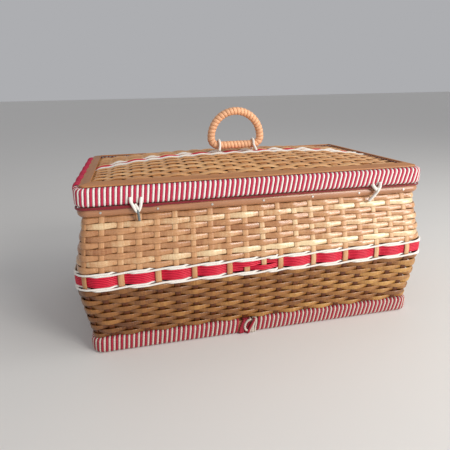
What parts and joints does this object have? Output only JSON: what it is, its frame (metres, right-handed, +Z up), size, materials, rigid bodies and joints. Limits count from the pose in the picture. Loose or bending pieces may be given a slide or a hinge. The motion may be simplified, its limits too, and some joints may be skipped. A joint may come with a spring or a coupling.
{
  "type": "sewing basket with hinged lid",
  "caption": "Rectangular woven cane sewing basket with a corded foot and belly band, a domed woven lid in a corded edge hinged by cord ties, and a cane-wound D handle on the lid.",
  "frame": {"origin": "middle of the corded foot, on the surface it stands on", "axes": "+X along the basket, +Z up, -Y the side of the hinge ties"},
  "size_m": [0.3604, 0.2204, 0.2218],
  "materials": {
    "cane_light": "pale flat cane splints under clear lacquer",
    "cane_mid": "tan cane under clear lacquer",
    "cane_dark": "darker round reed under clear lacquer",
    "handle_rod": "bent rod, hidden under its winding",
    "handle_cane": "half-round cane winding, lacquered",
    "cord_red": "crimson twisted cord",
    "cord_white": "off-white twisted cord",
    "lining_cloth": "red woven cloth lining",
    "pin_metal": "small round pin heads"
  },
  "bodies": {
    "basket": {"base_panel": "cane_mid", "foot_hoop_outer": "cane_mid", "foot_hoop_inner": "cane_mid", "foot_wrap_red": "cord_red", "foot_wrap_white": "cord_white", "stakes_front": "cane_mid", "stakes_back": "cane_mid", "stakes_left": "cane_mid", "stakes_right": "cane_mid", "lower_weavers": "cane_dark", "band_twine_lower": "cord_white", "band_strands": "cord_red", "band_twine_upper": "cord_white", "upper_weavers": "cane_light", "rim_hoop_outer": "cane_mid", "rim_hoop_inner": "cane_mid", "rim_pins": "pin_metal", "basket_lining": "lining_cloth", "hinge_link_left": "cord_white", "hinge_link_right": "cord_white"},
    "lid": {"lid_hoop": "cane_mid", "lid_wrap_red": "cord_red", "lid_wrap_white": "cord_white", "lid_frame": "cane_mid", "lid_strip_front": "cane_light", "lid_strip_back": "cane_light", "lid_strip_left": "cane_light", "lid_strip_right": "cane_light", "lid_ribs": "cane_dark", "lid_weavers": "cane_mid", "lid_twine_near": "cord_white", "lid_strands": "cord_red", "lid_twine_far": "cord_white", "lid_lining": "lining_cloth", "hinge_loop_left": "cord_white", "hinge_loop_right": "cord_white", "handle_tie_left": "cord_white", "handle_tie_right": "cord_white"},
    "handle": {"handle_core": "handle_rod", "handle_wrap": "handle_cane"}
  },
  "joints": [
    {"name": "lid_hinge", "type": "hinge", "parent": "basket", "child": "lid", "pos_m": [0, -0.1041, 0.1425], "axis": [1, 0, 0], "range_deg": [0, 180]},
    {"name": "handle_swing", "type": "hinge", "parent": "lid", "child": "handle", "pos_m": [-0.0015, 0, 0.1808], "axis": [1, 0, 0], "range_deg": [-85, 85]}
  ]
}
